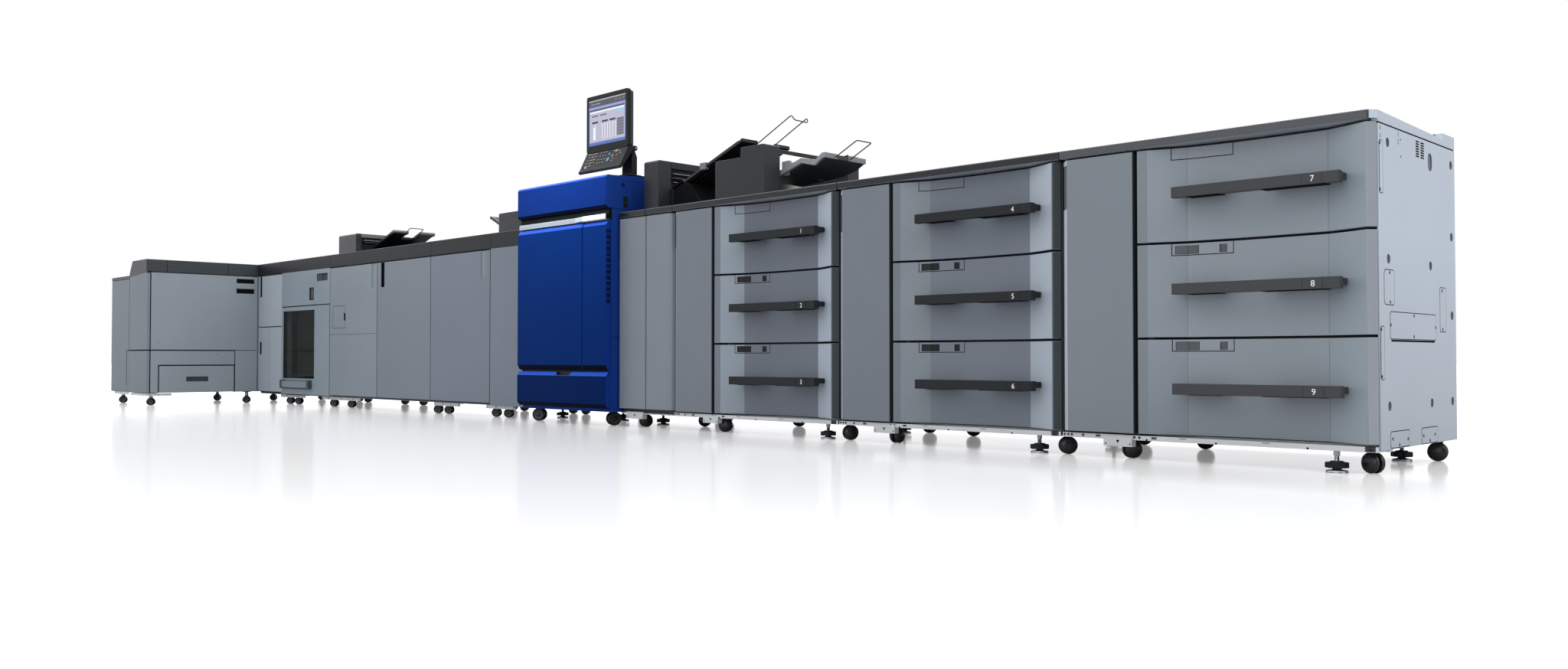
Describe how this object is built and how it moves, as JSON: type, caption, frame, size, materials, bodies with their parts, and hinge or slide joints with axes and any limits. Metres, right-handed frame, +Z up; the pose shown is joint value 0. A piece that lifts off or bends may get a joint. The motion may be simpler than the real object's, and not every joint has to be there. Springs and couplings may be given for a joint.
{
  "type": "digital production printer line",
  "caption": "Long digital production printer line: paper feeders with deep drawers, a print engine with a raised touch panel, finishing cabinets with doors, and a binder across the end.",
  "frame": {"origin": "centre of the bounding box at floor level", "axes": "+X along the row towards the paper feeder end, +Y from the front to the back, +Z up"},
  "size_m": [8.758, 1.597, 1.679],
  "materials": {
    "panel_grey": "satin",
    "cover_plastic": "matte",
    "engine_blue": "gloss",
    "engine_trim": "satin",
    "black_plastic": "satin",
    "wire": "satin",
    "bright_steel": "satin",
    "feet": "satin",
    "smoked_window": "smoked",
    "caster": "matte"
  },
  "bodies": {
    "printer_line": {"feeder_1_cabinet": "panel_grey", "feeder_2_cabinet": "panel_grey", "feeder_3_cabinet": "panel_grey", "feeder_covers": "cover_plastic", "relay_cabinet": "panel_grey", "engine_body": "engine_blue", "engine_hood": "engine_blue", "engine_trim": "engine_trim", "engine_lower_panel": "engine_blue", "panel_post": "black_plastic", "inserter_body": "cover_plastic", "inserter_trays": "cover_plastic", "tray_wires": "wire", "outlet_cabinet": "panel_grey", "outlet_inserter": "cover_plastic", "folder_cabinet": "panel_grey", "finisher_cabinet": "panel_grey", "finisher_inserter": "cover_plastic", "stacker_cabinet": "panel_grey", "stacker_shelves": "bright_steel", "end_cabinet": "panel_grey", "end_door_upper": "panel_grey", "binder_cabinet": "panel_grey", "finishing_covers": "cover_plastic", "base_rails": "bright_steel", "casters": "caster", "levelling_feet": "feet"},
    "drawer_1": {"drawer_1": "panel_grey"},
    "drawer_2": {"drawer_2": "panel_grey"},
    "drawer_3": {"drawer_3": "panel_grey"},
    "drawer_4": {"drawer_4": "panel_grey"},
    "drawer_5": {"drawer_5": "panel_grey"},
    "drawer_6": {"drawer_6": "panel_grey"},
    "drawer_7": {"drawer_7": "panel_grey"},
    "drawer_8": {"drawer_8": "panel_grey"},
    "drawer_9": {"drawer_9": "panel_grey"},
    "feeder_1_door": {"feeder_1_door": "panel_grey"},
    "feeder_2_door": {"feeder_2_door": "panel_grey"},
    "feeder_3_door": {"feeder_3_door": "panel_grey"},
    "relay_door": {"relay_door": "panel_grey"},
    "engine_door_left": {"engine_door_left": "engine_blue"},
    "engine_door_right": {"engine_door_right": "engine_blue"},
    "control_panel": {"control_panel": "black_plastic"},
    "folder_door": {"folder_door": "panel_grey"},
    "finisher_door_left": {"finisher_door_left": "panel_grey"},
    "finisher_door_right": {"finisher_door_right": "panel_grey"},
    "stacker_door": {"stacker_door": "panel_grey", "stacker_window": "smoked_window"},
    "end_door_lower": {"end_door_lower": "panel_grey"},
    "trim_drawer": {"trim_drawer": "panel_grey"}
  },
  "joints": [
    {"name": "drawer_1_slide", "type": "slide", "parent": "printer_line", "child": "drawer_1", "axis": [0, -1, 0], "range_m": [0, 0.5]},
    {"name": "drawer_2_slide", "type": "slide", "parent": "printer_line", "child": "drawer_2", "axis": [0, -1, 0], "range_m": [0, 0.5]},
    {"name": "drawer_3_slide", "type": "slide", "parent": "printer_line", "child": "drawer_3", "axis": [0, -1, 0], "range_m": [0, 0.5]},
    {"name": "drawer_4_slide", "type": "slide", "parent": "printer_line", "child": "drawer_4", "axis": [0, -1, 0], "range_m": [0, 0.5]},
    {"name": "drawer_5_slide", "type": "slide", "parent": "printer_line", "child": "drawer_5", "axis": [0, -1, 0], "range_m": [0, 0.5]},
    {"name": "drawer_6_slide", "type": "slide", "parent": "printer_line", "child": "drawer_6", "axis": [0, -1, 0], "range_m": [0, 0.5]},
    {"name": "drawer_7_slide", "type": "slide", "parent": "printer_line", "child": "drawer_7", "axis": [0, -1, 0], "range_m": [0, 0.5]},
    {"name": "drawer_8_slide", "type": "slide", "parent": "printer_line", "child": "drawer_8", "axis": [0, -1, 0], "range_m": [0, 0.5]},
    {"name": "drawer_9_slide", "type": "slide", "parent": "printer_line", "child": "drawer_9", "axis": [0, -1, 0], "range_m": [0, 0.5]},
    {"name": "feeder_1_door_hinge", "type": "hinge", "parent": "printer_line", "child": "feeder_1_door", "pos_m": [1.52, -0.0215, 0.55], "axis": [0, 0, 1], "range_deg": [0, 90]},
    {"name": "feeder_2_door_hinge", "type": "hinge", "parent": "printer_line", "child": "feeder_2_door", "pos_m": [2.566, -0.0215, 0.55], "axis": [0, 0, 1], "range_deg": [0, 90]},
    {"name": "feeder_3_door_hinge", "type": "hinge", "parent": "printer_line", "child": "feeder_3_door", "pos_m": [3.612, -0.0215, 0.55], "axis": [0, 0, 1], "range_deg": [0, 90]},
    {"name": "relay_door_hinge", "type": "hinge", "parent": "printer_line", "child": "relay_door", "pos_m": [1.045, -0.0215, 0.55], "axis": [0, 0, 1], "range_deg": [0, 90]},
    {"name": "engine_door_left_hinge", "type": "hinge", "parent": "printer_line", "child": "engine_door_left", "pos_m": [0.046, -0.0945, 0.64], "axis": [0, 0, -1], "range_deg": [0, 90]},
    {"name": "engine_door_right_hinge", "type": "hinge", "parent": "printer_line", "child": "engine_door_right", "pos_m": [0.825, -0.0945, 0.64], "axis": [0, 0, 1], "range_deg": [0, 90]},
    {"name": "control_panel_tilt", "type": "hinge", "parent": "printer_line", "child": "control_panel", "pos_m": [0.777, 0.0845, 1.386], "axis": [1, 0, 0], "range_deg": [-20, 10]},
    {"name": "folder_door_hinge", "type": "hinge", "parent": "printer_line", "child": "folder_door", "pos_m": [-1.011, -0.0215, 0.5], "axis": [0, 0, -1], "range_deg": [0, 90]},
    {"name": "finisher_door_left_hinge", "type": "hinge", "parent": "printer_line", "child": "finisher_door_left", "pos_m": [-2.378, -0.0215, 0.5], "axis": [0, 0, -1], "range_deg": [0, 90]},
    {"name": "finisher_door_right_hinge", "type": "hinge", "parent": "printer_line", "child": "finisher_door_right", "pos_m": [-1.017, -0.0215, 0.5], "axis": [0, 0, 1], "range_deg": [0, 90]},
    {"name": "stacker_door_hinge", "type": "hinge", "parent": "printer_line", "child": "stacker_door", "pos_m": [-2.387, -0.0215, 0.4], "axis": [0, 0, 1], "range_deg": [0, 80]},
    {"name": "end_door_lower_hinge", "type": "hinge", "parent": "printer_line", "child": "end_door_lower", "pos_m": [-3.1745, -0.0215, 0.33], "axis": [0, 0, 1], "range_deg": [0, 90]},
    {"name": "trim_drawer_slide", "type": "slide", "parent": "printer_line", "child": "trim_drawer", "axis": [1, 0, 0], "range_m": [0, 0.28]}
  ]
}
